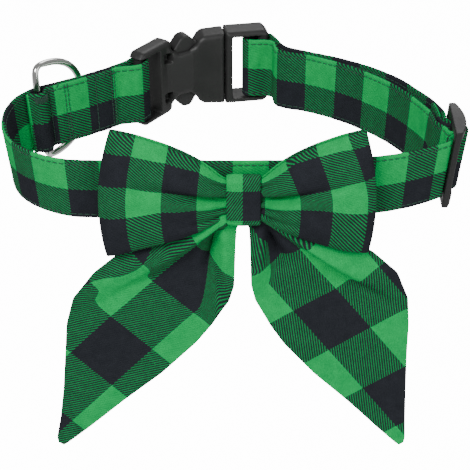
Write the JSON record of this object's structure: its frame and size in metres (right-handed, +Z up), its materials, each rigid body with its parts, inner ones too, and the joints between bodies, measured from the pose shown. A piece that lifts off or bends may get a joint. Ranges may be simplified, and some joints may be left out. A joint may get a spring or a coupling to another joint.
{
  "type": "pet bow tie collar",
  "caption": "Fabric pet collar in its worn loop with a side release buckle, strap slider, D ring and a sailor bow with pointed tails in front.",
  "frame": {"origin": "middle of the neck opening, at half the strap's height", "axes": "+X to the slider's side, +Y to the back where the buckle is, +Z up along the neck"},
  "size_m": [0.1833, 0.132, 0.1497],
  "materials": {
    "plaid_cloth": "brushed cotton twill in a green and black check",
    "black_plastic": "satin moulded",
    "ring_metal": "polished nickel plate"
  },
  "bodies": {
    "collar": {"collar_strap": "plaid_cloth", "buckle_socket": "black_plastic", "buckle_clip": "black_plastic", "strap_slider": "black_plastic", "bow_wings": "plaid_cloth", "bow_knot": "plaid_cloth", "bow_tails": "plaid_cloth"},
    "ring": {"d_ring": "ring_metal"}
  },
  "joints": [
    {"name": "ring_swing", "type": "hinge", "parent": "collar", "child": "ring", "pos_m": [-0.07941, 0.00192, 0.0032], "axis": [-0.0989, 0.1416, 0.985], "range_deg": [-2, 144]}
  ]
}
